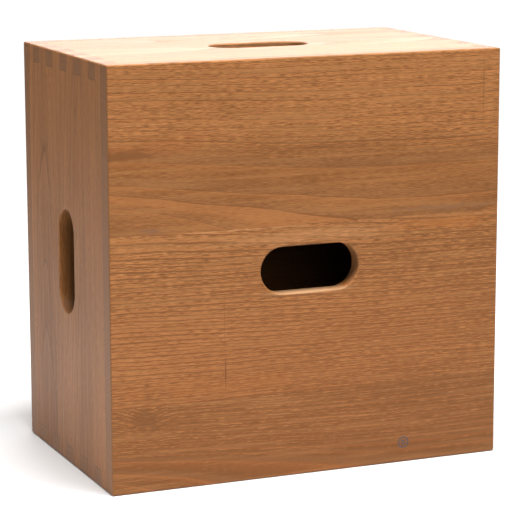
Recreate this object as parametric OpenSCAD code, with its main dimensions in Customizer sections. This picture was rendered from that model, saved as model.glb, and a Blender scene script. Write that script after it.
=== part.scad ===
// Box stool in solid chestnut: a dovetailed ring of seat, base and two sides, closed by a
// front and a back panel that lap over the ring's edges, with a hand slot in every face.
// Millimetres, +Z up. The origin is the middle of the base, at the floor; the front faces -Y.

/* [Box] */
// Width across the front
box_w = 430; // [400:5:460]
// Depth from the front face to the back face
box_d = 270; // [250:5:320]
// Height from the floor to the seat face
box_h = 430; // [400:5:460]
// Thickness of every panel
panel_t = 18; // [15:0.5:22]
// Radius of the eased outer edges
edge_r = 2; // [1:0.5:3]

/* [Hand slots] */
// Length of a slot from end to end
slot_l = 108; // [90:1:120]
// Width of a slot, which sets its round ends
slot_w = 48; // [30:1:52]
// Radius of the eased rims, outside and inside
rim_r = 2; // [1:0.5:3]

/* [Dovetails] */
// Tails at each end of the seat and of the base
tail_count = 5; // [3:2:5]
// Distance from one tail's middle to the next
tail_pitch = 45; // [40:0.5:46]
// Width of a tail at its end grain
tail_w = 22.5; // [18:0.5:26]
// A tail's side leans by 1 in this number
tail_slope = 8; // [6:1:10]

/* [Glue lines] */
// Front panel, heights of the two glue lines above the floor
front_lines = [88, 261]; // [0:1:430]
// Back panel, heights of the two glue lines above the floor
back_lines = [148, 312]; // [0:1:430]
// Left side, distances of the two glue lines from the middle, towards the back
left_lines = [-43, 39]; // [-100:1:100]
// Right side, distances of the two glue lines from the middle, towards the back
right_lines = [-51, 43]; // [-100:1:100]
// Seat, distances of the two glue lines from the middle, towards the back
seat_lines = [-42, 47]; // [-100:1:100]
// Base, distances of the two glue lines from the middle, towards the back
base_lines = [-46, 43]; // [-100:1:100]

/* [Dowels] */
// Diameter of a dowel
dowel_d = 8; // [6:1:10]
// Length of a dowel
dowel_l = 30; // [24:1:34]
// Depth of a dowel hole in the front and back panels
panel_hole = 12; // [10:0.5:12]
// Depth of a dowel hole in the ring's edges
ring_hole = 20; // [18:1:24]
// Glue film round a dowel
glue_film = 0.05; // [0.02:0.01:0.1]
// Bevel at both ends of a dowel
dowel_bevel = 1; // [0.5:0.1:1.5]
// Distance between dowels along the seat's and the base's edges
dowel_pitch_x = 100; // [80:5:110]
// Distance between dowels along the sides' edges
dowel_pitch_z = 110; // [90:5:115]
// Height of the lowest dowel in a side's edge
dowel_low_z = 50; // [40:1:55]

/* [Hidden] */
$fn = 64;

ring_d = box_d - 2 * panel_t;           // depth of the dovetailed ring
tail_lean = panel_t / tail_slope;       // how much a tail narrows on each side
past = 10;                              // how far a cutter runs past what it cuts
per_edge = 4;                           // dowels along one edge of the ring
first_tail = -tail_pitch * (tail_count - 1) / 2;
first_dowel = -dowel_pitch_x * (per_edge - 1) / 2;

front_wood = [0.66, 0.43, 0.26];
side_wood = [0.62, 0.43, 0.29];
seat_wood = [0.74, 0.55, 0.36];
beech = [0.86, 0.72, 0.52];

// ---- shared shapes ----

// A rectangle with round corners, centred on the origin.
module round_rect(w, h, r) {
    square([w - 2 * r, h], center = true);
    square([w, h - 2 * r], center = true);
    for (x = [-1, 1], y = [-1, 1])
        translate([x * (w / 2 - r), y * (h / 2 - r)]) circle(r);
}

// The whole box as one block with all twelve outer edges eased.
module outer_block() {
    translate([0, 0, box_h / 2]) intersection() {
        linear_extrude(box_h + past, center = true) round_rect(box_w, box_d, edge_r);
        rotate([90, 0, 0])
            linear_extrude(box_d + past, center = true) round_rect(box_w, box_h, edge_r);
        rotate([90, 0, 90])
            linear_extrude(box_w + past, center = true) round_rect(box_d, box_h, edge_r);
    }
}

// Half the outline of what an eased rim takes away, with the board's face at y = 0.
module rim_profile() {
    difference() {
        translate([0, -rim_r]) square([slot_w / 2 + rim_r, rim_r + past]);
        translate([slot_w / 2 + rim_r, -rim_r]) circle(rim_r);
    }
}

// One eased rim, with the face of the board at z = 0 and the wood below it.
module slot_rim() {
    straight = slot_l - slot_w;
    for (x = [-1, 1]) translate([x * straight / 2, 0, 0]) rotate_extrude() rim_profile();
    for (y = [0, 1]) mirror([0, y, 0])
        rotate([90, 0, 90]) linear_extrude(straight, center = true) rim_profile();
}

// The cutter of a hand slot along X, through a board that lies between z = 0 and z = -panel_t.
module slot_cutter() {
    straight = slot_l - slot_w;
    translate([0, 0, -panel_t - past]) linear_extrude(panel_t + 2 * past) {
        square([straight, slot_w], center = true);
        for (x = [-1, 1]) translate([x * straight / 2, 0]) circle(slot_w / 2);
    }
    slot_rim();
    translate([0, 0, -panel_t]) mirror([0, 0, 1]) slot_rim();
}

// The plan of one tail at the right-hand end, from its baseline to its end grain.
module tail_plan(y) {
    x0 = box_w / 2 - panel_t;
    x1 = box_w / 2;
    base_half = tail_w / 2 - tail_lean;
    polygon([
        [x0, y - base_half], [x1, y - tail_w / 2], [x1, y + tail_w / 2], [x0, y + base_half]
    ]);
}

// The plan of all the tails at the right-hand end.
module tails_plan() {
    for (i = [0 : tail_count - 1]) tail_plan(first_tail + i * tail_pitch);
}

// The slice of space between two distances along one axis: 0 is X, 1 is Y and 2 is Z.
module slice(axis, low, high) {
    reach = box_w + box_d + box_h;
    size = [for (a = [0 : 2]) a == axis ? high - low : 2 * reach];
    corner = [for (a = [0 : 2]) a == axis ? low : -reach];
    translate(corner) cube(size);
}

// The limits of board i, counted from the low end, between a panel's ends and its glue lines.
function board_low(lines, low, i) = i == 0 ? low : lines[i - 1];
function board_high(lines, high, i) = i == 2 ? high : lines[i];

// ---- dowels and their holes ----

// Every dowel's place along the front joint, as [x, z].
function dowel_places() = concat(
    [for (i = [0 : per_edge - 1], z = [panel_t / 2, box_h - panel_t / 2])
        [first_dowel + i * dowel_pitch_x, z]],
    [for (i = [0 : per_edge - 1], x = [-1, 1])
        [x * (box_w - panel_t) / 2, dowel_low_z + i * dowel_pitch_z]]
);

// The dowel holes of the front joint, in the panel and in the ring at once.
module dowel_holes() {
    for (p = dowel_places())
        translate([p[0], -ring_d / 2 + ring_hole, p[1]]) rotate([90, 0, 0])
            cylinder(h = ring_hole + panel_hole, d = dowel_d + 2 * glue_film);
}

// One dowel with bevelled ends, standing on z = 0.
module dowel() {
    r = dowel_d / 2;
    rotate_extrude() polygon([
        [0, 0], [r - dowel_bevel, 0], [r, dowel_bevel],
        [r, dowel_l - dowel_bevel], [r - dowel_bevel, dowel_l], [0, dowel_l]
    ]);
}

// All the dowels of the front joint, each with the same gap at both ends of its hole.
module dowels() {
    end_gap = (ring_hole + panel_hole - dowel_l) / 2;
    for (p = dowel_places())
        translate([p[0], -ring_d / 2 + ring_hole - end_gap, p[1]]) rotate([90, 0, 0]) dowel();
}

// ---- panels, before they are parted into boards ----

// The front panel, over the whole front of the ring.
module front_panel() {
    difference() {
        intersection() {
            outer_block();
            slice(1, -box_d, -ring_d / 2);
        }
        translate([0, -box_d / 2, box_h / 2]) rotate([90, 0, 0]) slot_cutter();
        dowel_holes();
    }
}

// The right side, with the sockets for the seat's and the base's tails.
module side_panel() {
    difference() {
        intersection() {
            outer_block();
            slice(0, box_w / 2 - panel_t, box_w);
            slice(1, -ring_d / 2, ring_d / 2);
        }
        for (z = [-past, box_h - panel_t])
            translate([0, 0, z]) linear_extrude(panel_t + past) socket_plan();
        translate([box_w / 2, 0, box_h / 2]) rotate([0, 90, 0]) slot_cutter();
        dowel_holes();
        mirror([0, 1, 0]) dowel_holes();
    }
}

// The plan of the sockets: the tails, carried on past the outer face at their own width.
module socket_plan() {
    tails_plan();
    for (i = [0 : tail_count - 1])
        translate([box_w / 2, first_tail + i * tail_pitch - tail_w / 2]) square([past, tail_w]);
}

// The seat, with its tails at both ends.
module seat_panel() {
    difference() {
        intersection() {
            outer_block();
            translate([0, 0, box_h - panel_t]) linear_extrude(panel_t) {
                square([box_w - 2 * panel_t, ring_d], center = true);
                for (x = [0, 1]) mirror([x, 0]) tails_plan();
            }
        }
        translate([0, 0, box_h]) slot_cutter();
        dowel_holes();
        mirror([0, 1, 0]) dowel_holes();
    }
}

// ---- boards: each panel parted at its glue lines; i = 0 is the low end of the axis ----

module front_board(i) {
    color(front_wood) intersection() {
        front_panel();
        slice(2, board_low(front_lines, -past, i), board_high(front_lines, box_h + past, i));
    }
}

module back_board(i) {
    color(front_wood) intersection() {
        mirror([0, 1, 0]) front_panel();
        slice(2, board_low(back_lines, -past, i), board_high(back_lines, box_h + past, i));
    }
}

module left_board(i) {
    color(side_wood) intersection() {
        mirror([1, 0, 0]) side_panel();
        slice(1, board_low(left_lines, -box_d, i), board_high(left_lines, box_d, i));
    }
}

module right_board(i) {
    color(side_wood) intersection() {
        side_panel();
        slice(1, board_low(right_lines, -box_d, i), board_high(right_lines, box_d, i));
    }
}

module seat_board(i) {
    color(seat_wood) intersection() {
        seat_panel();
        slice(1, board_low(seat_lines, -box_d, i), board_high(seat_lines, box_d, i));
    }
}

module base_board(i) {
    color(seat_wood) intersection() {
        translate([0, 0, box_h]) mirror([0, 0, 1]) seat_panel();
        slice(1, board_low(base_lines, -box_d, i), board_high(base_lines, box_d, i));
    }
}

module front_dowels() {
    color(beech) dowels();
}

module back_dowels() {
    color(beech) mirror([0, 1, 0]) dowels();
}

front_board(2);  // front_board_upper
front_board(1);  // front_board_middle
front_board(0);  // front_board_lower
back_board(2);  // back_board_upper
back_board(1);  // back_board_middle
back_board(0);  // back_board_lower
left_board(0);  // left_board_front
left_board(1);  // left_board_middle
left_board(2);  // left_board_back
right_board(0);  // right_board_front
right_board(1);  // right_board_middle
right_board(2);  // right_board_back
seat_board(0);  // seat_board_front
seat_board(1);  // seat_board_middle
seat_board(2);  // seat_board_back
base_board(0);  // base_board_front
base_board(1);  // base_board_middle
base_board(2);  // base_board_back
front_dowels();
back_dowels();
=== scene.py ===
"""Dresses the box stool: dovetailed chestnut boards, hand slots and dowels, in a pale studio."""

import logging
import math
from collections.abc import Callable, Iterable
from dataclasses import dataclass, field
from enum import Enum

import bmesh
import bpy
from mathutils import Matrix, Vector

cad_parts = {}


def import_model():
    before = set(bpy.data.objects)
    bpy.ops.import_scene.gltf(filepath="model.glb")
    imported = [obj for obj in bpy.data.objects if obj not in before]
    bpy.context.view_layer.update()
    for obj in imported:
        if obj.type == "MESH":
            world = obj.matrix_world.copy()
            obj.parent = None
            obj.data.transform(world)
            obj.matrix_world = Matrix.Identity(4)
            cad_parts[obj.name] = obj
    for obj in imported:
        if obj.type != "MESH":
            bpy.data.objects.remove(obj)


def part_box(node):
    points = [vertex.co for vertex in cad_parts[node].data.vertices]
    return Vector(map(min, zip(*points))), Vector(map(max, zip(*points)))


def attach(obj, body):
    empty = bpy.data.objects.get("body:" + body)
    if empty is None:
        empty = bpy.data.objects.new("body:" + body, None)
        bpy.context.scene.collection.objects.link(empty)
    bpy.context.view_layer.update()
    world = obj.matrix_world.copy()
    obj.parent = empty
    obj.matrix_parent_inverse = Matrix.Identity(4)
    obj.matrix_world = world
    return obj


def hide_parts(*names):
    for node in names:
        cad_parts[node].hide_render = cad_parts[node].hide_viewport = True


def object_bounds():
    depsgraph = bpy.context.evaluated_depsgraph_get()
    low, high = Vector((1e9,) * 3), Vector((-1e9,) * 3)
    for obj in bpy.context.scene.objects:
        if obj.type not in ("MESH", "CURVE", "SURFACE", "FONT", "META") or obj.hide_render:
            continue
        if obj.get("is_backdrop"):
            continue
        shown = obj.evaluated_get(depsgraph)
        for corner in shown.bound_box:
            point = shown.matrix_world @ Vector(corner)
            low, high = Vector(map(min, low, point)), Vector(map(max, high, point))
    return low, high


log = logging.getLogger("box_stool")

MM = 0.001
CLOSE = 1e-6  # metres within which two places count as one
COLOUR = tuple[float, float, float]
Piece = bpy.types.Object
Socket = bpy.types.NodeSocket
Edge = bmesh.types.BMEdge


def tint(colour: COLOUR) -> tuple[float, float, float, float]:
    """A colour as a shader socket takes it, with full cover."""
    return (*colour, 1.0)


class Panel(Enum):
    """The six panels: the axis that each one faces along, its side of the stool, and the name of its
    material slot.
    """

    FRONT = (1, -1, "front_chestnut")
    BACK = (1, 1, "back_chestnut")
    LEFT = (0, -1, "left_chestnut")
    RIGHT = (0, 1, "right_chestnut")
    SEAT = (2, 1, "seat_chestnut")
    BASE = (2, -1, "base_chestnut")

    @property
    def facing(self) -> int:
        """The axis that the panel's faces look along."""
        return self.value[0]

    @property
    def side(self) -> int:
        """1 where the panel is on the high side of that axis, and -1 on the low side."""
        return self.value[1]

    @property
    def slot_name(self) -> str:
        """The name of the material slot of the panel's boards."""
        return self.value[2]

    @property
    def grain(self) -> int:
        """The axis that the boards' fibres run along: upright in the sides, and across elsewhere."""
        return 2 if self in (Panel.LEFT, Panel.RIGHT) else 0

    @property
    def across(self) -> int:
        """The axis that runs from board to board."""
        return 3 - self.facing - self.grain


@dataclass(frozen=True)
class StoolPlan:
    """The stool's leading sizes, in metres, with the outer box as its frame gives it."""

    low: Vector
    high: Vector
    panel: float = 18 * MM
    eased: float = 2 * MM
    slot_length: float = 108 * MM
    slot_width: float = 48 * MM
    tail_count: int = 5
    tail_pitch: float = 45 * MM
    tail_width: float = 22.5 * MM
    tail_slope: float = 8.0
    dowel_hole: float = 8.1 * MM

    @property
    def middle(self) -> Vector:
        """The middle of the stool's outer box."""
        return (self.low + self.high) / 2

    def on_outer_edge(self, edge: Edge) -> bool:
        """Whether an edge is part of one of the twelve edges of the outer box.

        Args:
            edge: The edge.

        Returns:
            True for the box's own edges.
        """
        ends = [corner.co for corner in edge.verts]
        shared = [
            axis
            for axis in range(3)
            for outer in (self.low, self.high)
            if all(abs(end[axis] - outer[axis]) < CLOSE for end in ends)
        ]
        return len(shared) >= 2


class Bench:
    """The bench work that pieces go through, from a sawn block to one with its edges eased."""

    @staticmethod
    def clear() -> None:
        """Puts every piece down, so that the next step touches nothing else."""
        bpy.ops.object.select_all(action="DESELECT")

    @classmethod
    def take(cls, piece: Piece) -> None:
        """Takes up one piece and nothing else.

        Args:
            piece: The piece.
        """
        cls.clear()
        piece.select_set(True)
        bpy.context.view_layer.objects.active = piece

    @classmethod
    def block(cls, name: str, low: Vector, high: Vector) -> Piece:
        """Saws a square block.

        Args:
            name: The block's name.
            low: Its lowest corner, in metres.
            high: Its highest corner.

        Returns:
            The block, with its place in its mesh.
        """
        cls.clear()
        bpy.ops.mesh.primitive_cube_add(size=1, location=(low + high) / 2)
        piece = bpy.context.object
        piece.name = piece.data.name = name
        piece.scale = high - low
        bpy.ops.object.transform_apply(location=True, rotation=True, scale=True)
        return piece

    @classmethod
    def open(cls, piece: Piece, kind: str, chosen: Callable) -> None:
        """Opens a piece for shaping with only some of it selected.

        Args:
            piece: The piece to open.
            kind: What is chosen: VERT, EDGE or FACE.
            chosen: Says of each vertex, edge or face whether it is wanted.
        """
        cls.take(piece)
        bpy.ops.object.mode_set(mode="EDIT")
        bpy.ops.mesh.select_mode(type=kind)
        bpy.ops.mesh.select_all(action="DESELECT")
        shape = bmesh.from_edit_mesh(piece.data)
        parts = {"VERT": shape.verts, "EDGE": shape.edges, "FACE": shape.faces}[kind]
        for part in parts:
            if chosen(part):
                part.select_set(True)
        bmesh.update_edit_mesh(piece.data)

    @staticmethod
    def close() -> None:
        """Ends the shaping of the open piece."""
        bpy.ops.object.mode_set(mode="OBJECT")

    @classmethod
    def ease(cls, piece: Piece, radius: float, steps: int, chosen: Callable) -> None:
        """Rounds some edges over.

        Args:
            piece: The piece.
            radius: The radius of the round, in metres.
            steps: How many flats make up the round.
            chosen: Says of each edge whether it is rounded.
        """
        cls.open(piece, "EDGE", chosen)
        if piece.data.total_edge_sel:
            bpy.ops.mesh.bevel(offset=radius, segments=steps, affect="EDGES", clamp_overlap=True)
            bpy.ops.mesh.select_all(action="SELECT")
            bpy.ops.mesh.remove_doubles(threshold=radius * 0.002)
        cls.close()

    @classmethod
    def cut(cls, piece: Piece, cutter: Piece) -> None:
        """Takes the shape of a cutter out of a piece.

        Args:
            piece: The piece.
            cutter: The cutter, which stays as it is.
        """
        cls.take(piece)
        saw = piece.modifiers.new("saw", "BOOLEAN")
        saw.operation = "DIFFERENCE"
        saw.solver = "EXACT"
        saw.object = cutter
        bpy.ops.object.modifier_apply(modifier=saw.name)

    @classmethod
    def score(cls, piece: Piece, place: Vector, normal: Vector) -> None:
        """Parts a piece's faces along a plane, without taking anything away.

        Args:
            piece: The piece.
            place: A point on the plane, in metres.
            normal: The way that the plane faces.
        """
        cls.open(piece, "FACE", lambda face: True)
        bpy.ops.mesh.bisect(plane_co=place, plane_no=normal)
        cls.close()

    @classmethod
    def copy(cls, piece: Piece, move: Vector) -> Piece:
        """Copies a piece, with a mesh of its own, and moves the copy's mesh.

        Args:
            piece: The piece.
            move: How far the copy goes, in metres.

        Returns:
            The copy.
        """
        twin = piece.copy()
        twin.data = piece.data.copy()
        bpy.context.collection.objects.link(twin)
        cls.take(twin)
        twin.location = move
        bpy.ops.object.transform_apply(location=True, rotation=False, scale=False)
        return twin

    @classmethod
    def join(cls, name: str, pieces: list[Piece]) -> Piece:
        """Joins pieces into one, under a new name.

        Args:
            name: The new name.
            pieces: The pieces.

        Returns:
            The joined piece.
        """
        cls.clear()
        for piece in pieces:
            piece.select_set(True)
        bpy.context.view_layer.objects.active = pieces[0]
        bpy.ops.object.join()
        whole = bpy.context.object
        whole.name = whole.data.name = name
        return whole

    @staticmethod
    def bin(pieces: Iterable[Piece]) -> None:
        """Throws away cutters and gauges that have done their work.

        Args:
            pieces: The cutters and gauges.
        """
        for piece in pieces:
            bpy.data.objects.remove(piece)

    @classmethod
    def finish(cls, piece: Piece) -> None:
        """Makes the rounds look round and the flats look flat.

        Args:
            piece: The piece, whose edges are eased.
        """
        cls.take(piece)
        bpy.ops.object.shade_smooth_by_angle(angle=math.radians(35))
        level = piece.modifiers.new("level", "WEIGHTED_NORMAL")
        level.keep_sharp = True
        level.weight = 100
        bpy.ops.object.modifier_apply(modifier=level.name)


class Field:
    """A number that varies through the wood. Arithmetic on it adds nodes to its recipe."""

    def __init__(self, recipe: "Recipe", socket: Socket) -> None:
        """Wraps a socket of the recipe."""
        self.recipe = recipe
        self.socket = socket

    def __add__(self, other: "Field | float") -> "Field":
        """The sum."""
        return self.recipe.math("ADD", self, other)

    def __sub__(self, other: "Field | float") -> "Field":
        """The difference."""
        return self.recipe.math("SUBTRACT", self, other)

    def __rsub__(self, other: float) -> "Field":
        """A number less this field."""
        return self.recipe.math("SUBTRACT", other, self)

    def __mul__(self, other: "Field | float") -> "Field":
        """The product."""
        return self.recipe.math("MULTIPLY", self, other)

    def __truediv__(self, other: "Field | float") -> "Field":
        """The quotient."""
        return self.recipe.math("DIVIDE", self, other)

    __radd__ = __add__
    __rmul__ = __mul__

    def at_most(self, other: "Field | float") -> "Field":
        """The smaller of the two."""
        return self.recipe.math("MINIMUM", self, other)

    def at_least(self, other: "Field | float") -> "Field":
        """The larger of the two."""
        return self.recipe.math("MAXIMUM", self, other)

    def size(self) -> "Field":
        """The field without its sign."""
        return self.recipe.math("ABSOLUTE", self)

    def below(self, limit: float) -> "Field":
        """1 where the field is below a limit, and 0 elsewhere."""
        return self.recipe.math("LESS_THAN", self, limit)

    def rise(self, start: float, end: float) -> "Field":
        """A soft step from 0 to 1 as the field goes from start to end.

        Args:
            start: Where the step begins.
            end: Where it is complete.

        Returns:
            The step.
        """
        node = self.recipe.add("ShaderNodeMapRange", interpolation_type="SMOOTHSTEP")
        self.recipe.feed(node.inputs["Value"], self)
        node.inputs["From Min"].default_value = start
        node.inputs["From Max"].default_value = end
        return Field(self.recipe, node.outputs["Result"])


class Recipe:
    """The nodes of one material, or of the studio's surround."""

    def __init__(self, owner: bpy.types.Material | bpy.types.World) -> None:
        """Clears the nodes of a new material or surround.

        Args:
            owner: What the nodes belong to.
        """
        owner.use_nodes = True
        self.owner = owner
        self.tree = owner.node_tree
        self.tree.nodes.clear()

    def add(self, kind: str, **settings: object) -> bpy.types.Node:
        """Adds a node and sets its options.

        Args:
            kind: The node's type.
            settings: Its options.

        Returns:
            The node.
        """
        node = self.tree.nodes.new(kind)
        for name, value in settings.items():
            setattr(node, name, value)
        return node

    def feed(self, socket: Socket, value: object) -> None:
        """Gives a socket a field, another socket or a constant.

        Args:
            socket: The socket to feed.
            value: What it is given.
        """
        if isinstance(value, Field):
            self.tree.links.new(value.socket, socket)
        elif isinstance(value, Socket):
            self.tree.links.new(value, socket)
        else:
            socket.default_value = value

    def math(self, operation: str, *terms: Field | float) -> Field:
        """Adds one step of arithmetic.

        Args:
            operation: The operation, as the node names it.
            terms: What it works on.

        Returns:
            The result.
        """
        node = self.add("ShaderNodeMath", operation=operation)
        for socket, term in zip(node.inputs, terms):
            self.feed(socket, term)
        return Field(self, node.outputs[0])

    def split(self, vector: Socket) -> list[Field]:
        """Parts a vector into its three numbers.

        Args:
            vector: The vector.

        Returns:
            The three numbers.
        """
        node = self.add("ShaderNodeSeparateXYZ")
        self.feed(node.inputs[0], vector)
        return [Field(self, out) for out in node.outputs]

    def blend(self, share: Field, first: object, second: object) -> Socket:
        """Mixes two colours: the first at a share of 0 and the second at 1.

        Args:
            share: How much of the second there is.
            first: A socket or a colour.
            second: A socket or a colour.

        Returns:
            The mixed colour.
        """
        node = self.add("ShaderNodeMix", data_type="RGBA", clamp_factor=True)
        colours = [socket for socket in node.inputs if socket.type == "RGBA"]
        self.feed(node.inputs[0], share)
        for socket, colour in zip(colours, (first, second)):
            self.feed(socket, tint(colour) if isinstance(colour, tuple) else colour)
        return next(socket for socket in node.outputs if socket.type == "RGBA")

    def shade(self, colour: Socket, amount: Field) -> Socket:
        """Makes a colour lighter or darker by a factor.

        Args:
            colour: The colour.
            amount: The factor.

        Returns:
            The colour after it.
        """
        node = self.add("ShaderNodeVectorMath", operation="SCALE")
        self.feed(node.inputs[0], colour)
        self.feed(node.inputs["Scale"], amount)
        return node.outputs[0]

    def give_to(self, piece: Piece) -> None:
        """Makes this material the only one of a piece."""
        piece.data.materials.clear()
        piece.data.materials.append(self.owner)

    def surface(self, shader: Socket) -> None:
        """Sends the finished shader to the output.

        Args:
            shader: The shader's socket.
        """
        kind = "World" if isinstance(self.owner, bpy.types.World) else "Material"
        output = self.add(f"ShaderNodeOutput{kind}")
        self.feed(output.inputs["Surface"], shader)


@dataclass(frozen=True)
class Sawing:
    """How a board lay in its log. Lengths are in millimetres, from its panel's corner.

    The pith runs nearly along the board. It is pith_across up the panel, and behind its face by
    a distance that bows along the board: pith_behind at one end, plus lean per millimetre, less
    bow per square millimetre. The rings are young_ring wide out to young_until, and old_ring past
    it. The wood is lighter by tone at one end, by fade more a metre on, and by lift where the
    rings are narrow. Figure is how strongly its streaks and lines show, and crisp is how far its
    lines win over its flecks.
    """

    pith_across: float
    pith_behind: float
    seed: float
    lean: float = 0.0
    bow: float = 0.0
    young_until: float = 60.0
    young_ring: float = 9.0
    old_ring: float = 5.0
    wander: float = 6.0
    tone: float = 0.0
    fade: float = 0.0
    lift: float = 0.3
    figure: float = 0.7
    crisp: float = 0.0


@dataclass(frozen=True)
class MarkOrPaintedHighlight:
    """A soft-edged patch of another tone: a stain, a knot's shadow, a fine check, and in two places a
    painted highlight. In millimetres.

    Ragged is how uneven its edge is, and swell is how far it pushes the rings aside.
    """

    along: float
    across: float
    half_length: float
    half_width: float
    colour: COLOUR
    strength: float
    ragged: float
    swell: float = 0.0


class Variation(Enum):
    """The ways a board varies: its patches' length and width in millimetres, detail and place."""

    SLOW = (260, 70, 2, 0.0)
    WAVES = (55, 14, 2, 5.0)
    RIPPLES = (12, 3, 1, 9.0)
    FLECKS = (9, 0.45, 1, 17.0)
    STREAKS = (30, 0.8, 2, 21.0)
    BANDS = (150, 6.0, 2, 33.0)
    CLOUDS = (320, 60, 2, 61.0)
    VESSELS = (8, 0.42, 1, 47.0)


class Grain:
    """Where a point lies on its board, and how the wood varies along its fibres.

    Along and across are millimetres from the panel's corner, and behind is millimetres behind
    its face.
    """

    def __init__(
        self, wood: Recipe, place: Socket, panel: Panel, corner: Vector, seed: float
    ) -> None:
        """Measures a point from its panel's corner.

        Args:
            wood: The recipe.
            place: The point's Object coordinates.
            panel: The board's panel.
            corner: The panel's lowest corner on its outer face, in metres.
            seed: What sets one board's variations apart from another's.
        """
        self.wood, self.seed = wood, seed
        self.noises: dict[Variation, list[Field]] = {}
        ruler = wood.add("ShaderNodeMapping", vector_type="TEXTURE")
        wood.feed(ruler.inputs["Vector"], place)
        ruler.inputs["Location"].default_value = corner
        ruler.inputs["Scale"].default_value = (MM, MM, MM)
        measured = wood.split(ruler.outputs[0])
        self.along, self.across = measured[panel.grain], measured[panel.across]
        self.behind = measured[panel.facing] * -float(panel.side)
        fibres = wood.add("ShaderNodeCombineXYZ")
        for socket, value in zip(fibres.inputs, (self.along, self.across, self.behind)):
            wood.feed(socket, value)
        self.fibres = fibres.outputs[0]
        self.waves = self.noise(Variation.WAVES)
        self.ripples = self.noise(Variation.RIPPLES)

    def noise(self, variation: Variation) -> list[Field]:
        """Four fields, each about a half, that vary in one of the board's ways.

        Args:
            variation: The way in which they vary.

        Returns:
            The fields.
        """
        if variation not in self.noises:
            self.noises[variation] = self.make_noise(*variation.value)
        return self.noises[variation]

    def make_noise(self, length: float, width: float, detail: float, shift: float) -> list[Field]:
        """Makes noise that is drawn out along the fibres.

        Args:
            length: The length of its patches, in millimetres.
            width: Their width.
            detail: How many finer layers it has.
            shift: What sets it apart from the board's other variations.

        Returns:
            Four fields.
        """
        stretch = self.wood.add("ShaderNodeMapping", vector_type="POINT")
        self.wood.feed(stretch.inputs["Vector"], self.fibres)
        stretch.inputs["Scale"].default_value = (1 / length, 1 / width, 1 / width)
        stretch.inputs["Location"].default_value = (
            self.seed * 7.13 + shift,
            self.seed * 3.7,
            shift * 2.3,
        )
        noise = self.wood.add("ShaderNodeTexNoise", noise_dimensions="3D")
        self.wood.feed(noise.inputs["Vector"], stretch.outputs[0])
        noise.inputs["Scale"].default_value = 1.0
        noise.inputs["Detail"].default_value = detail
        noise.inputs["Roughness"].default_value = 0.55
        return [Field(self.wood, noise.outputs["Fac"]), *self.wood.split(noise.outputs["Color"])]

    def far_from(self, along: float, across: float, long: float = 1.0, wide: float = 1.0) -> Field:
        """The distance from a spot, with its half length and half width as the units.

        Args:
            along: The spot's place along the panel, in millimetres.
            across: Its place across the panel.
            long: The unit of length along the panel.
            wide: The unit across it.

        Returns:
            The distance.
        """
        sideways, upwards = (self.along - along) / long, (self.across - across) / wide
        return self.wood.math("SQRT", sideways * sideways + upwards * upwards)

    def reach(self, spot: MarkOrPaintedHighlight) -> Field:
        """The distance from a blemish, which is 1 at its edge."""
        return self.far_from(spot.along, spot.across, spot.half_length, spot.half_width)

    def spread(self, spot: MarkOrPaintedHighlight) -> Field:
        """How much of a blemish shows: 1 in its middle, and 0 past its ragged edge.

        Args:
            spot: The blemish.

        Returns:
            Its share of the colour.
        """
        ragged = (self.waves[0] + self.ripples[0] - 1.0) * 2 * spot.ragged
        return 1.0 - (self.reach(spot) + ragged).rise(0.25, 1.0)


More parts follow.
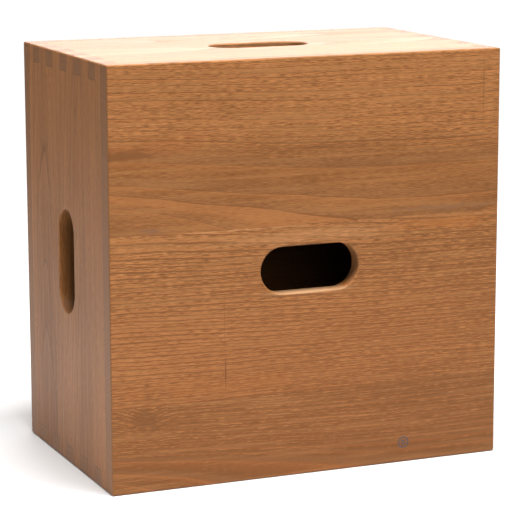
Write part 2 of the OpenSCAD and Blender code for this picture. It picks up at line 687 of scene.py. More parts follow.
class Rings:
    """Where a point lies in its log: its growth ring, its lines and its pores."""

    line_width: float = 0.8
    crisp_line_width: float = 1.2
    edge_width: float = 0.35

    def __init__(self, grain: Grain, board: "Board") -> None:
        """Works the rings out.

        Args:
            grain: The board's grain.
            board: The board.
        """
        sawing = board.sawing
        radius = self.radius(grain, board)
        share = self.share(grain, radius, sawing)
        width = radius.below(sawing.young_until) * (sawing.young_ring - sawing.old_ring)
        width = width + sawing.old_ring
        past_start, self.before_end = share * width, (1.0 - share) * width
        self.busy = radius.rise(sawing.young_until - 12, sawing.young_until + 22)
        self.streaks = grain.noise(Variation.STREAKS)[0]
        line_width = self.line_width + (self.crisp_line_width - self.line_width) * sawing.crisp
        line = 1.0 - (past_start * (2.0 - self.busy)).rise(0.0, line_width)
        line = line.at_least(1.0 - self.before_end.rise(0.0, self.edge_width))
        self.line = line * (self.streaks.rise(0.30, 0.58) * 0.45 + 0.55)
        self.early = 1.0 - share.rise(0.0, 0.50)
        self.late = share.rise(0.50, 1.0)
        self.vessels = grain.noise(Variation.VESSELS)[0]
        self.pores = self.vessels.rise(0.56, 0.70) * (self.early * 0.85 + 0.15)

    @staticmethod
    def radius(grain: Grain, board: "Board") -> Field:
        """The distance from the pith, in millimetres, with its wander and its knots.

        Args:
            grain: The board's grain.
            board: The board.

        Returns:
            The distance.
        """
        sawing, waves = board.sawing, grain.waves
        slow = grain.noise(Variation.SLOW)
        wander_across = (slow[1] - 0.5) * sawing.wander * 2 + (waves[1] - 0.5) * 1.6
        wander_across = wander_across + (grain.ripples[1] - 0.5) * 0.5
        wander_behind = (slow[2] - 0.5) * sawing.wander * 2 + (waves[2] - 0.5) * 1.6
        pith_behind = (grain.along * -sawing.bow + sawing.lean) * grain.along + sawing.pith_behind
        across = grain.across - sawing.pith_across + wander_across
        behind = pith_behind - grain.behind + wander_behind
        radius = grain.wood.math("SQRT", across * across + behind * behind)
        for spot in board.marks_and_highlights:
            if spot.swell:
                radius = radius + (1.0 - grain.reach(spot).rise(0.0, 2.0)) * spot.swell
        return radius

    @staticmethod
    def share(grain: Grain, radius: Field, sawing: Sawing) -> Field:
        """The share of its ring that a point has passed, counted from the pith.

        Args:
            grain: The board's grain.
            radius: The distance from the pith, in millimetres.
            sawing: How the board lay in its log.

        Returns:
            The share, from 0 to 1.
        """
        widths = grain.wood.add("ShaderNodeTexNoise", noise_dimensions="1D")
        grain.wood.feed(widths.inputs["W"], radius * 0.045 + sawing.seed)
        widths.inputs["Scale"].default_value = 1.0
        widths.inputs["Detail"].default_value = 2.0
        uneven = Field(grain.wood, widths.outputs["Fac"]) * 3.2
        young = radius.at_most(sawing.young_until) / sawing.young_ring
        old = (radius - sawing.young_until).at_least(0.0) / sawing.old_ring
        return grain.wood.math("FRACT", young + old + uneven)


@dataclass(frozen=True)
class RingStamp:
    """A plain ink mark: a few rings round a dot, like the end of a twig. In millimetres."""

    along: float = 322.0
    across: float = 21.0
    radius: float = 6.4
    pitch: float = 3.6
    line: float = 1.2
    cover: float = 0.8
    ink: COLOUR = (0.060, 0.070, 0.085)

    def mark(self, grain: Grain, rings: Rings, colour: Socket) -> Socket:
        """Prints the stamp over the wood, where the ink misses the pores.

        Args:
            grain: The board's grain.
            rings: The board's rings.
            colour: The wood's colour.

        Returns:
            The colour with the ink on it.
        """
        reach = grain.far_from(self.along, self.across)
        off_line = (grain.wood.math("FRACT", reach / self.pitch) - 0.5).size() * self.pitch
        printed = 1.0 - off_line.rise(self.line * 0.5, self.line * 0.9)
        printed = printed * (1.0 - reach.rise(self.radius, self.radius + 0.1))
        printed = printed * grain.behind.below(0.5) * (1.0 - rings.vessels.rise(0.55, 0.7) * 0.6)
        return grain.wood.blend(printed * self.cover, colour, self.ink)


@dataclass(frozen=True)
class Figure:
    """How far each part of the wood's figure lightens or darkens it.

    Calm wood has wide rings and busy wood narrow ones.
    """

    ground: float = 0.35
    flecks: float = 3.6
    flecks_when_crisp: float = 2.2
    streaks: float = 1.5
    calm_share: float = 0.38
    glow: float = 0.16
    busy_glow: float = 0.12
    lines: float = 0.95
    busy_lines: float = 0.80
    lines_when_crisp: float = 3.0
    pores: float = 0.22
    early: float = 0.07
    busy_early: float = 0.03
    bands: float = 0.4
    clouds: float = 0.8

    def light(self, grain: Grain, rings: Rings, sawing: Sawing) -> Field:
        """Where the wood stands between its darkest and its palest tone.

        Args:
            grain: The board's grain.
            rings: The board's rings.
            sawing: How the board lay in its log.

        Returns:
            0 for dark wood and 1 for pale wood.
        """
        flecks = grain.noise(Variation.FLECKS)[0]
        bands, clouds = grain.noise(Variation.BANDS)[0], grain.noise(Variation.CLOUDS)[0]
        busy, crisp = rings.busy, sawing.crisp
        fleck_strength = self.flecks + (self.flecks_when_crisp - self.flecks) * crisp
        line_strength = 1.0 + (self.lines_when_crisp - 1.0) * crisp
        light = (flecks - 0.5) * fleck_strength + (rings.streaks - 0.5) * self.streaks
        light = light * (busy * (1.0 - self.calm_share) + self.calm_share)
        glow = busy * (self.busy_glow - self.glow) + self.glow
        light = light + (1.0 - rings.before_end.rise(0.4, 1.8)) * glow
        line = rings.line * (busy * (self.busy_lines - self.lines) + self.lines)
        light = light - line * line_strength - rings.pores * self.pores
        light = light - rings.early * (busy * (self.busy_early - self.early) + self.early)
        light = light * sawing.figure + (bands - 0.5) * self.bands + (clouds - 0.5) * self.clouds
        light = light + busy * sawing.lift + grain.along * (sawing.fade * MM)
        return light + (self.ground + sawing.tone)


@dataclass(frozen=True)
class Chestnut:
    """Oiled chestnut: a ring-porous wood with a satin surface and no film."""

    dark: COLOUR = (0.180, 0.066, 0.015)
    pale: COLOUR = (0.500, 0.205, 0.068)
    late: COLOUR = (0.400, 0.130, 0.030)
    tan: COLOUR = (0.350, 0.155, 0.052)
    early: COLOUR = (0.290, 0.130, 0.048)
    pore: COLOUR = (0.120, 0.048, 0.015)
    end_grain: COLOUR = (0.275, 0.120, 0.046)
    # The painted shade on the inner faces: they keep this share of their colour.
    inside: float = 0.20
    roughness: float = 0.46
    sheen: float = 0.20
    refraction: float = 1.5
    pore_depth: float = 0.12 * MM
    pore_strength: float = 0.35
    figure: Figure = field(default_factory=Figure)

    def dress(self, piece: Piece, board: "Board", corner: Vector) -> None:
        """Makes a board's wood and gives it to the board.

        Args:
            piece: The finished board.
            board: What is known of it.
            corner: Its panel's lowest corner on its outer face, in metres.
        """
        wood = Recipe(bpy.data.materials.new(piece.name + "_wood"))
        coordinates = wood.add("ShaderNodeTexCoord")
        grain = Grain(wood, coordinates.outputs["Object"], board.panel, corner, board.sawing.seed)
        rings = Rings(grain, board)
        colour = self.face_colour(grain, rings, board)
        looks_along = wood.split(coordinates.outputs["Normal"])[board.panel.grain].size()
        end_colour = wood.blend(rings.line * 0.5 + rings.pores * 0.3, self.end_grain, self.pore)
        colour = wood.blend(looks_along.rise(0.45, 0.85), colour, end_colour)
        colour = self.dim(grain, board, colour)
        if board.stamp:
            colour = board.stamp.mark(grain, rings, colour)
        self.oil(wood, rings, colour)
        wood.give_to(piece)

    def face_colour(self, grain: Grain, rings: Rings, board: "Board") -> Socket:
        """The colour of a board's faces, with its marks and its painted highlights.

        Args:
            grain: The board's grain.
            rings: The board's rings.
            board: The board.

        Returns:
            The colour.
        """
        wood, figure = grain.wood, board.sawing.figure
        light = self.figure.light(grain, rings, board.sawing)
        bands = grain.noise(Variation.BANDS)[0]
        colour = wood.blend(light, self.dark, self.pale)
        colour = wood.blend(bands.rise(0.48, 0.68) * 0.45, colour, self.tan)
        colour = wood.blend(rings.late * 0.20 * figure, colour, self.late)
        colour = wood.blend(rings.early * 0.25 * figure, colour, self.early)
        colour = wood.blend(rings.pores * 0.25 * figure, colour, self.pore)
        for spot in board.marks_and_highlights:
            colour = wood.blend(grain.spread(spot) * spot.strength, colour, spot.colour)
        return colour

    def dim(self, grain: Grain, board: "Board", colour: Socket) -> Socket:
        """Paints shade on a board: on its inner faces, and on a slot's wall, deepening towards the
        inside.

        Args:
            grain: The board's grain.
            board: The board.
            colour: The wood's colour.

        Returns:
            The dimmed colour.
        """
        # Painted shade: a slot's wall darkens with depth near the slot, and the inner faces are painted
        # dark as if in shade.
        off_slot = (grain.along - board.slot_at).size().rise(56, 66)
        slot_shade = off_slot * -board.slot_wall_shade + board.slot_wall_shade
        painted_shade = grain.behind.rise(2.0, 16.0) * slot_shade
        painted_shade = painted_shade + grain.behind.rise(17.4, 17.9) * (1.0 - self.inside)
        return grain.wood.shade(colour, (1.0 - painted_shade).at_least(self.inside))

    def oil(self, wood: Recipe, rings: Rings, colour: Socket) -> None:
        """Finishes the wood with its pores and its satin gloss.

        Args:
            wood: The recipe.
            rings: The board's rings.
            colour: The wood's colour.
        """
        bump = wood.add("ShaderNodeBump")
        bump.inputs["Strength"].default_value = self.pore_strength
        bump.inputs["Distance"].default_value = self.pore_depth
        height = rings.pores * -1.0 + rings.line * -0.35 + (rings.streaks - 0.5) * 0.5
        wood.feed(bump.inputs["Height"], height)
        shader = wood.add("ShaderNodeBsdfPrincipled")
        wood.feed(shader.inputs["Base Color"], colour)
        gloss = rings.pores * 0.16 + rings.late * -0.05 + self.roughness
        wood.feed(shader.inputs["Roughness"], gloss)
        wood.feed(shader.inputs["Normal"], bump.outputs[0])
        shader.inputs["IOR"].default_value = self.refraction
        shader.inputs["Specular IOR Level"].default_value = self.sheen
        wood.surface(shader.outputs[0])


@dataclass(frozen=True)
class Beech:
    """Plain beech for the dowels: pale, close-grained and unfinished."""

    colour: COLOUR = (0.62, 0.42, 0.24)
    fleck: COLOUR = (0.48, 0.29, 0.15)
    roughness: float = 0.6

    def dress(self, piece: Piece) -> None:
        """Makes the beech and gives it to a set of dowels.

        Args:
            piece: The set of dowels.
        """
        wood = Recipe(bpy.data.materials.new(piece.name + "_wood"))
        coordinates = wood.add("ShaderNodeTexCoord")
        stretch = wood.add("ShaderNodeMapping", vector_type="POINT")
        wood.feed(stretch.inputs["Vector"], coordinates.outputs["Object"])
        stretch.inputs["Scale"].default_value = (900, 160, 900)
        noise = wood.add("ShaderNodeTexNoise")
        wood.feed(noise.inputs["Vector"], stretch.outputs[0])
        noise.inputs["Scale"].default_value = 1.0
        noise.inputs["Detail"].default_value = 2.0
        flecks = Field(wood, noise.outputs["Fac"]).rise(0.45, 0.7)
        shader = wood.add("ShaderNodeBsdfPrincipled")
        wood.feed(shader.inputs["Base Color"], wood.blend(flecks, self.colour, self.fleck))
        shader.inputs["Roughness"].default_value = self.roughness
        wood.surface(shader.outputs[0])
        wood.give_to(piece)


@dataclass(frozen=True)
class Board:
    """One board: its panel, how it was sawn, its marks and painted highlights, and how much painted shade
    darkens its slot's walls.

    The slot's middle is slot_at millimetres along the board.
    """

    name: str
    panel: Panel
    sawing: Sawing
    marks_and_highlights: tuple[MarkOrPaintedHighlight, ...] = ()
    stamp: RingStamp | None = None
    # How much painted shade darkens the slot's walls towards the inside.
    slot_wall_shade: float = 0.0
    slot_at: float = 215.0

    @property
    def node(self) -> str:
        """The CAD node that the board stands for."""
        return f"{self.panel.name.lower()}_board_{self.name}"

    @property
    def slotted(self) -> bool:
        """Whether the hand slot is in this board: it is in each panel's middle one."""
        return self.name == "middle"


@dataclass
class HandSlot:
    """The stadium-shaped hand slot in the middle of a panel."""

    plan: StoolPlan
    panel: Panel
    steps: int = 24
    rim_steps: int = 5
    least_turn: float = math.radians(60)

    def reach(self) -> Vector:
        """Half the slot's length and width, along its own axes, and well past the panel.

        Returns:
            The half sizes, in metres.
        """
        half = Vector((0, 0, 0))
        half[self.panel.grain] = self.plan.slot_length / 2
        half[self.panel.across] = self.plan.slot_width / 2
        half[self.panel.facing] = self.plan.panel * 1.5
        return half

    def middle(self) -> Vector:
        """The middle of the slot, on the panel's outer face.

        Returns:
            Its place, in metres.
        """
        place = self.plan.middle.copy()
        outer = self.plan.high if self.panel.side > 0 else self.plan.low
        place[self.panel.facing] = outer[self.panel.facing]
        return place

    def cutter(self) -> Piece:
        """Makes the cutter: a block with its ends fully rounded.

        Returns:
            The cutter.
        """
        middle, half = self.middle(), self.reach()
        block = Bench.block("slot_cutter", middle - half, middle + half)
        facing = self.panel.facing

        def upright(edge: Edge) -> bool:
            """Whether an edge runs right through the panel."""
            return abs(edge.verts[0].co[facing] - edge.verts[1].co[facing]) > half[facing]

        Bench.ease(block, self.plan.slot_width / 2, self.steps, upright)
        return block

    def rim(self, edge: Edge) -> bool:
        """Whether an edge runs round the slot on one of the panel's two faces.

        Args:
            edge: The edge.

        Returns:
            True for the slot's rims.
        """
        middle, half = self.middle(), self.reach()
        facing = self.panel.facing
        depths = {round(abs(end.co[facing] - middle[facing]), 6) for end in edge.verts}
        flat = depths in ({0.0}, {round(self.plan.panel, 6)})
        inside = all(
            abs(end.co[axis] - middle[axis]) < half[axis] + 10 * CLOSE
            for end in edge.verts
            for axis in (self.panel.grain, self.panel.across)
        )
        steep = len(edge.link_faces) == 2 and edge.calc_face_angle(0) > self.least_turn
        return flat and inside and steep

    def rout(self, board: Piece) -> None:
        """Routs the slot through a board and rounds its rims over.

        Args:
            board: The board.
        """
        across_grain = Vector((0, 0, 0))
        across_grain[self.panel.grain] = 1
        Bench.score(board, self.middle(), across_grain)
        cutter = self.cutter()
        Bench.cut(board, cutter)
        Bench.bin([cutter])
        Bench.ease(board, self.plan.eased, self.rim_steps, self.rim)


@dataclass
class Dovetails:
    """The gauge for the corner joints, which are the same at all four corners."""

    plan: StoolPlan
    past: float = 6 * MM

    def wedge(self, name: str, at_base: float, at_end: float, seat: bool) -> Piece:
        """Makes one tail-shaped or pin-shaped cutter for the right-hand top corner.

        Args:
            name: The cutter's name.
            at_base: Its width at the joint's baseline.
            at_end: Its width at the outer face, and past it.
            seat: Whether it cuts the seat, right through, or a side, from its end.

        Returns:
            The cutter, in the middle of the row.
        """
        plan = self.plan
        low = Vector((plan.high.x - plan.panel, -at_end / 2, plan.high.z - plan.panel))
        high = Vector((plan.high.x, at_end / 2, plan.high.z + self.past))
        if seat:
            low.z -= self.past
        wedge = Bench.block(name, low, high)
        inner = low.x
        Bench.open(wedge, "FACE", lambda face: abs(face.calc_center_median().x - inner) < CLOSE)
        bpy.ops.transform.resize(value=(1, at_base / at_end, 1), center_override=(inner, 0, plan.high.z))
        Bench.close()
        outer = high.x
        Bench.open(wedge, "FACE", lambda face: abs(face.calc_center_median().x - outer) < CLOSE)
        bpy.ops.mesh.extrude_region_move(TRANSFORM_OT_translate={"value": (self.past, 0, 0)})
        Bench.close()
        return wedge

    def row(self, name: str, seat: bool) -> Piece:
        """Sets out a row of cutters at the right-hand top corner.

        Args:
            name: The row's name.
            seat: True for the waste between the seat's tails, and False for a side's sockets.

        Returns:
            The cutters, as one piece.
        """
        plan = self.plan
        lean = plan.panel / plan.tail_slope
        count = plan.tail_count + 1 if seat else plan.tail_count
        at_end = plan.tail_pitch - plan.tail_width if seat else plan.tail_width
        at_base = at_end + 2 * lean if seat else at_end - 2 * lean
        wedge = self.wedge(name, at_base, at_end, seat)
        first = -plan.tail_pitch * (count - 1) / 2
        copies = [Bench.copy(wedge, Vector((0, first + i * plan.tail_pitch, 0))) for i in range(count)]
        Bench.bin([wedge])
        return Bench.join(name, copies)

    def mirrored(self, row: Piece, left: bool, low: bool) -> Piece:
        """Copies a row of cutters to another corner.

        Args:
            row: The cutters at the right-hand top corner.
            left: Whether the copy goes to the left.
            low: Whether it goes to the base.

        Returns:
            The copy.
        """
        twin = Bench.copy(row, Vector((0, 0, 0)))
        shape = bmesh.new()
        shape.from_mesh(twin.data)
        for corner in shape.verts:
            corner.co.x *= -1 if left else 1
            corner.co.z = self.plan.high.z + self.plan.low.z - corner.co.z if low else corner.co.z
        if left != low:
            bmesh.ops.reverse_faces(shape, faces=shape.faces)
        shape.to_mesh(twin.data)
        shape.free()
        return twin

    def cut(self, board: Piece, panel: Panel) -> None:
        """Cuts a ring board's joints at both its ends.

        Args:
            board: The board.
            panel: Its panel.
        """
        seat = panel in (Panel.SEAT, Panel.BASE)
        row = self.row("dovetail_cutters", seat)
        for far in (False, True):
            left = far if seat else panel is Panel.LEFT
            low = panel is Panel.BASE if seat else far
            twin = self.mirrored(row, left, low)
            Bench.cut(board, twin)
            Bench.bin([twin])
        Bench.bin([row])


@dataclass
class DowelJoint:
    """The blind dowels between the front or back panel and the ring's edges."""

    plan: StoolPlan
    panel: Panel
    length: float = 30 * MM
    diameter: float = 8 * MM
    into_panel: float = 12 * MM
    into_ring: float = 20 * MM
    bevel: float = 1 * MM
    flutes: int = 16
    flute_depth: float = 0.045
    per_edge: int = 4
    drill_sides: int = 24
    pitch_along: float = 100 * MM
    pitch_up: float = 110 * MM
    lowest: float = 50 * MM

    def places(self) -> list[tuple[float, float]]:
        """Where the dowels are, as places across and up.

        Returns:
            The places, in metres.
        """
        plan, count = self.plan, self.per_edge
        first = -self.pitch_along * (count - 1) / 2
        edges = (plan.low.z + plan.panel / 2, plan.high.z - plan.panel / 2)
        rows = [(first + i * self.pitch_along, z) for i in range(count) for z in edges]
        edge = plan.high.x - plan.panel / 2
        return rows + [(x, self.lowest + i * self.pitch_up) for i in range(count) for x in (-edge, edge)]

    def joint(self) -> float:
        """Where the panel meets the ring."""
        outer = self.plan.high.y - self.plan.panel
        return outer * self.panel.side

    def middle(self) -> float:
        """How far back the middle of every hole is."""
        return self.joint() + self.panel.side * (self.into_panel - self.into_ring) / 2

    def drill(self) -> Piece:
        """Makes the drills for all the holes of the joint, as one cutter.

        Returns:
            The drills.
        """
        radius, depth = self.plan.dowel_hole / 2, self.into_panel + self.into_ring
        holes = [Vector((x, self.middle(), z)) for x, z in self.places()]
        drills = [self.rod("drill", radius, depth, hole, self.drill_sides) for hole in holes]
        return Bench.join(f"{self.panel.name.lower()}_drills", drills)

    def rod(self, name: str, radius: float, length: float, place: Vector, sides: int) -> Piece:
        """Turns a plain rod that lies from front to back.

        Args:
            name: The rod's name.
            radius: Its radius, in metres.
            length: Its length.
            place: Where its middle is.
            sides: How many flats it has.

        Returns:
            The rod.
        """
        Bench.clear()
        bpy.ops.mesh.primitive_cylinder_add(
            vertices=sides, radius=radius, depth=length, location=place, rotation=(math.radians(90), 0, 0)
        )
        rod = bpy.context.object
        rod.name = name
        bpy.ops.object.transform_apply(location=True, rotation=True, scale=True)
        return rod

    def dowel(self) -> Piece:
        """Makes one fluted dowel with bevelled ends, lying at the origin.

        Returns:
            The dowel.
        """
        dowel = self.rod("dowel", self.diameter / 2, self.length, Vector((0, 0, 0)), 2 * self.flutes)
        end = self.length / 2

        def at_end(edge: Edge) -> bool:
            """Whether an edge runs round one of the dowel's two ends."""
            return all(abs(abs(corner.co.y) - end) < CLOSE for corner in edge.verts)

        Bench.open(dowel, "EDGE", at_end)
        bpy.ops.mesh.bevel(offset=self.bevel, segments=1, affect="EDGES")
        Bench.close()
        turn = math.tau / (2 * self.flutes)

        def groove(corner: bmesh.types.BMVert) -> bool:
            """Every second line along the dowel is a flute.

            Args:
                corner: A point of the dowel.

            Returns:
                Whether it is on a flute.
            """
            step = round(math.atan2(corner.co.z, corner.co.x) / turn)
            return step % 2 == 1 and abs(corner.co.y) < end - self.bevel * 0.5

        Bench.open(dowel, "VERT", groove)
        left = 1 - self.flute_depth
        bpy.ops.transform.resize(value=(left, 1, left), center_override=(0, 0, 0))
        Bench.close()
        Bench.take(dowel)
        bpy.ops.object.shade_flat()
        return dowel

    def build(self) -> Piece:
        """Makes the whole set and puts each dowel in its place.

        Returns:
            The set, as one piece.
        """
        dowel = self.dowel()
        copies = [Bench.copy(dowel, Vector((x, self.middle(), z))) for x, z in self.places()]
        Bench.bin([dowel])
        return Bench.join(f"{self.panel.name.lower()}_dowel_set", copies)


@dataclass
class BoxStool:
    """The whole stool: eighteen boards in six panels, and two sets of dowels."""

    plan: StoolPlan
    boards: tuple[Board, ...]
    chestnut: Chestnut = field(default_factory=Chestnut)
    beech: Beech = field(default_factory=Beech)
    edge_steps: int = 5

    def corner(self, panel: Panel) -> Vector:
        """The corner that a panel's sawing is measured from: its lowest, on its outer face.

        Args:
            panel: The panel.

        Returns:
            The corner, in metres.
        """
        corner = self.plan.low.copy()
        if panel.side > 0:
            corner[panel.facing] = self.plan.high[panel.facing]
        return corner

    def make_board(self, board: Board, drills: list[Piece]) -> Piece:
        """Makes one board, from its blank to its finish.

        Args:
            board: The board.
            drills: The drills for the dowel holes that may reach it.

        Returns:
            The finished board.
        """
        low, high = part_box(board.node)
        piece = Bench.block(f"{board.panel.name.lower()}_{board.name}_chestnut", low, high)
        if board.slotted:
            HandSlot(self.plan, board.panel).rout(piece)
        if board.panel not in (Panel.FRONT, Panel.BACK):
            Dovetails(self.plan).cut(piece, board.panel)
        for drill in drills:
            Bench.cut(piece, drill)
        Bench.ease(piece, self.plan.eased, self.edge_steps, self.plan.on_outer_edge)
        Bench.finish(piece)
        self.chestnut.dress(piece, board, self.corner(board.panel))
        return piece

    @staticmethod
    def set_in_frame(piece: Piece, node: str, slot_name: str) -> None:
        """Sets a finished piece in the place of its CAD node, and reports it.

        Args:
            piece: The piece.
            node: The CAD node.
            slot_name: Its material slot; not used.
        """
        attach(piece, "root")
        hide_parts(node)
        log.info("%s: %d faces", piece.name, len(piece.data.polygons))

    def build(self) -> None:
        """Makes every piece and sets it in the frame."""
        joints = {panel: DowelJoint(self.plan, panel) for panel in (Panel.FRONT, Panel.BACK)}
        drills = {panel: joint.drill() for panel, joint in joints.items()}
        for board in self.boards:
            reaching = [drills[board.panel]] if board.panel in drills else list(drills.values())
            piece = self.make_board(board, reaching)
            self.set_in_frame(piece, board.node, board.panel.slot_name)
        Bench.bin(drills.values())
        for panel, joint in joints.items():
            dowels = joint.build()
            self.beech.dress(dowels)
            self.set_in_frame(dowels, f"{panel.name.lower()}_dowels", "beech_dowels")


@dataclass(frozen=True)
class Softbox:
    """A large soft light: its place and size in metres, and its brightness where white is 1."""

    name: str
    place: Vector
    size: tuple[float, float]
    brightness: float


SOFTBOXES = (
    Softbox("overhead_softbox", Vector((0.0, -0.53, 2.25)), (1.2, 0.7), 31.0),
    Softbox("front_softbox", Vector((0.2, -3.2, 1.3)), (2.0, 2.0), 0.5),
    Softbox("back_softbox", Vector((1.3, 3.1, 1.15)), (2.4, 1.5), 3.9),
)


@dataclass
class Studio:
    """A plain pale studio: a round floor that fades into a white surround, and large soft lights."""

    plan: StoolPlan
    softboxes: tuple[Softbox, ...] = SOFTBOXES
    floor_radius: float = 2.6
    fade_from: float = 1.2
    floor_gap: float = 0.3 * MM
    floor_paint: COLOUR = (0.9, 0.9, 0.9)
    floor_roughness: float = 0.8
    surround_seen: float = 1.05
    surround_light: float = 0.22
    light_from_above: float = 0.18
    shade_on_left: float = 0.04
    camera_place: tuple[float, float, float] = (-0.9299, -2.2091, 0.6582)
    camera_down: float = 10.88
    camera_roll: float = 0.13
    camera_turn: float = -22.94
    camera_lens: float = 156.9
    camera_sensor: float = 36.0
    camera_sees_to: float = 60.0

    def lay_floor(self) -> None:
        """Lays the pale floor just under the stool."""
        Bench.clear()
        bpy.ops.mesh.primitive_circle_add(
            vertices=96,
            radius=self.floor_radius,
            fill_type="NGON",
            location=(0, 0, self.plan.low.z - self.floor_gap),
        )
        floor = bpy.context.object
        floor.name = "studio_floor"
        paint = Recipe(bpy.data.materials.new("studio_floor_paint"))
        shader = paint.add("ShaderNodeBsdfPrincipled")
        shader.inputs["Base Color"].default_value = tint(self.floor_paint)
        shader.inputs["Roughness"].default_value = self.floor_roughness
        coordinates = paint.add("ShaderNodeTexCoord")
        x, y, _ = paint.split(coordinates.outputs["Object"])
        reach = paint.math("SQRT", x * x + y * y)
        paint.feed(shader.inputs["Alpha"], 1.0 - reach.rise(self.fade_from, self.floor_radius))
        paint.surface(shader.outputs[0])
        paint.give_to(floor)
        floor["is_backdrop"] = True

    def hang(self, softbox: Softbox) -> None:
        """Hangs a softbox so that it looks at the stool.

        Args:
            softbox: The softbox.
        """
        lamp = bpy.data.lights.new(softbox.name, "AREA")
        lamp.shape = "RECTANGLE"
        lamp.size, lamp.size_y = softbox.size
        lamp.energy = softbox.brightness * math.pi * lamp.size * lamp.size_y
        box = bpy.data.objects.new(softbox.name, lamp)
        bpy.context.collection.objects.link(box)
        box.location = softbox.place
        towards_stool = self.plan.middle - softbox.place
        box.rotation_euler = towards_stool.to_track_quat("-Z", "Y").to_euler()
        box.visible_camera = False

    def surround(self) -> None:
        """Paints the surround: white to the eye, and a soft light, strongest above and weakest left."""
        world = bpy.data.worlds.new("studio_surround")
        bpy.context.scene.world = world
        sky = Recipe(world)
        sideways, _, upwards = sky.split(sky.add("ShaderNodeTexCoord").outputs["Generated"])
        glow = upwards.at_least(0.0) * self.light_from_above + self.surround_light
        glow = glow + sideways.at_most(0.0) * self.shade_on_left
        seen = Field(sky, sky.add("ShaderNodeLightPath").outputs["Is Camera Ray"])
        background = sky.add("ShaderNodeBackground")
        background.inputs["Color"].default_value = tint((1.0, 1.0, 1.0))
        sky.feed(background.inputs["Strength"], glow + (self.surround_seen - glow) * seen)
        sky.surface(background.outputs[0])

    def set_camera(self) -> None:
        """Stands the camera to the left of the front and a little above the seat."""
        camera = bpy.data.cameras.new("studio_camera")
        camera.lens = self.camera_lens
        camera.sensor_width = self.camera_sensor
        camera.clip_end = self.camera_sees_to
        stand = bpy.data.objects.new("studio_camera", camera)
        bpy.context.collection.objects.link(stand)
        stand.location = self.camera_place
        tilt = 90 - self.camera_down
        stand.rotation_euler = [math.radians(turn) for turn in (tilt, self.camera_roll, self.camera_turn)]
        bpy.context.scene.camera = stand

    def light(self) -> None:
        """Sets the lights, the surround and the way the film takes them."""
        for softbox in self.softboxes:
            self.hang(softbox)
        self.surround()
        bpy.context.scene.view_settings.view_transform = "Standard"


STAIN = (0.190, 0.072, 0.020)
GREY = (0.215, 0.105, 0.052)
ORANGE = (0.430, 0.150, 0.036)
# The colour of the painted highlights on the seat and on the front slot's lip.
HIGHLIGHT_CREAM = (0.600, 0.380, 0.205)
EMBER = (0.290, 0.092, 0.022)
CHECK = (0.085, 0.032, 0.010)
PALE = (0.560, 0.270, 0.110)

# A painted highlight: a pale cream wash over the whole seat.
SEAT_HIGHLIGHT = (MarkOrPaintedHighlight(215, 0, 900, 900, HIGHLIGHT_CREAM, 0.15, ragged=0.0),)

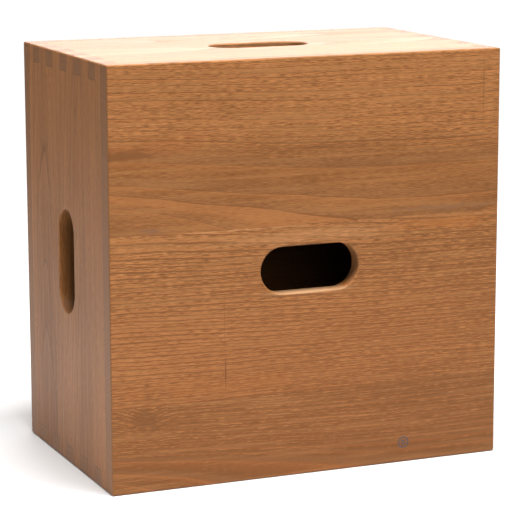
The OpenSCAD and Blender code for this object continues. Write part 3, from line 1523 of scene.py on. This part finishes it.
SAWN_BOARDS = (
    Board(
        "upper",
        Panel.FRONT,
        Sawing(
            248, 40, lean=0.17, bow=0.00025, young_until=106, young_ring=12.5, old_ring=4.9, wander=5,
            seed=1, tone=-0.05, fade=-0.15, figure=1.0,
        ),
        (
            MarkOrPaintedHighlight(30, 345, 130, 16, EMBER, 0.35, ragged=0.8),
            MarkOrPaintedHighlight(4, 341, 75, 7, STAIN, 0.75, ragged=0.7),
            MarkOrPaintedHighlight(250, 338, 90, 5, STAIN, 0.25, ragged=1.0),
            MarkOrPaintedHighlight(44, 265, 20, 5, GREY, 0.75, ragged=0.8),
            MarkOrPaintedHighlight(365, 268, 75, 4, GREY, 0.5, ragged=1.2),
            MarkOrPaintedHighlight(411, 390, 0.7, 44, CHECK, 0.45, ragged=0.0),
        ),
    ),
    Board(
        "middle",
        Panel.FRONT,
        Sawing(
            330, 105, lean=-0.04, young_until=40, old_ring=3.4, wander=5, seed=2, tone=-0.1, fade=-0.6,
            figure=1.2, crisp=0.3,
        ),
        (
            MarkOrPaintedHighlight(150, 259.6, 130, 1.1, PALE, 0.7, ragged=0.8),
            MarkOrPaintedHighlight(365, 252, 75, 8, ORANGE, 0.5, ragged=0.8),
            MarkOrPaintedHighlight(215, 249, 110, 11, PALE, 0.35, ragged=0.5),
            MarkOrPaintedHighlight(130, 102, 130, 13, ORANGE, 0.25, ragged=1.0),
            MarkOrPaintedHighlight(122, 115, 0.8, 24, CHECK, 0.9, ragged=0.0),
            MarkOrPaintedHighlight(121, 170, 0.7, 42, CHECK, 0.3, ragged=0.0),
            MarkOrPaintedHighlight(215, 120, 420, 115, EMBER, 0.28, ragged=0.3),
            # A painted highlight along the front slot's lower lip.
            MarkOrPaintedHighlight(215, 191.4, 62, 3.4, HIGHLIGHT_CREAM, 0.55, ragged=0.0),
        ),
    ),
    Board(
        "lower",
        Panel.FRONT,
        Sawing(
            -7, 20, lean=0.155, bow=0.00021, young_until=50, young_ring=8.5, old_ring=3.1, wander=2,
            seed=3, tone=-0.15, fade=-0.95, lift=0.0, figure=1.6, crisp=1.0,
        ),
        (
            MarkOrPaintedHighlight(215, 40, 420, 80, EMBER, 0.15, ragged=0.3),
            MarkOrPaintedHighlight(36, 72, 18, 15, STAIN, 0.6, ragged=1.0, swell=9.0),
        ),
        stamp=RingStamp(),
    ),
    Board("upper", Panel.BACK, Sawing(390, 70, lean=0.08, old_ring=4.6, seed=4)),
    Board(
        "middle",
        Panel.BACK,
        Sawing(210, 45, lean=0.12, bow=0.0002, young_until=70, young_ring=11, seed=5),
    ),
    Board("lower", Panel.BACK, Sawing(40, 80, lean=0.05, old_ring=4.2, seed=6)),
    Board(
        "front",
        Panel.LEFT,
        Sawing(-60, 60, lean=0.02, young_until=50, seed=7, tone=-0.24, fade=0.5, figure=0.35),
    ),
    Board(
        "middle",
        Panel.LEFT,
        Sawing(60, 140, lean=0.05, young_until=50, seed=8, tone=-0.26, fade=0.4, figure=0.4),
        # Painted shade on the slot's walls.
        slot_wall_shade=0.6,
    ),
    Board(
        "back",
        Panel.LEFT,
        Sawing(205, 40, lean=0.1, bow=0.0001, seed=9, tone=-0.1, fade=0.35, lift=0.2, figure=0.55),
    ),
    Board("front", Panel.RIGHT, Sawing(30, 45, lean=0.06, old_ring=4.6, seed=10)),
    Board(
        "middle",
        Panel.RIGHT,
        Sawing(150, 120, lean=0.03, young_until=50, old_ring=5.2, seed=11),
        # Painted shade on the slot's walls.
        slot_wall_shade=0.6,
    ),
    Board("back", Panel.RIGHT, Sawing(260, 70, lean=0.08, old_ring=4.8, seed=12)),
    # The seat boards carry the painted highlight.
    Board("front", Panel.SEAT, Sawing(-30, 70, lean=0.06, seed=13), marks_and_highlights=SEAT_HIGHLIGHT),
    Board("middle", Panel.SEAT, Sawing(120, 90, lean=0.04, old_ring=5.4, seed=14), marks_and_highlights=SEAT_HIGHLIGHT),
    Board(
        "back",
        Panel.SEAT,
        Sawing(215, 50, lean=0.1, bow=0.0001, old_ring=4.8, seed=15),
        marks_and_highlights=SEAT_HIGHLIGHT,
    ),
    Board("front", Panel.BASE, Sawing(20, 60, lean=0.05, old_ring=4.6, seed=16)),
    Board("middle", Panel.BASE, Sawing(150, 80, lean=0.07, old_ring=5.2, seed=17)),
    Board("back", Panel.BASE, Sawing(260, 90, lean=0.03, seed=18)),
)


def main() -> None:
    """Builds the stool in its studio, sized from its frame's outer box."""
    logging.basicConfig(level=logging.INFO, format="%(message)s")
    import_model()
    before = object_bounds()
    plan = StoolPlan(*before)
    BoxStool(plan, SAWN_BOARDS).build()
    studio = Studio(plan)
    studio.lay_floor()
    studio.light()
    studio.set_camera()


if __name__ == "__main__":
    main()
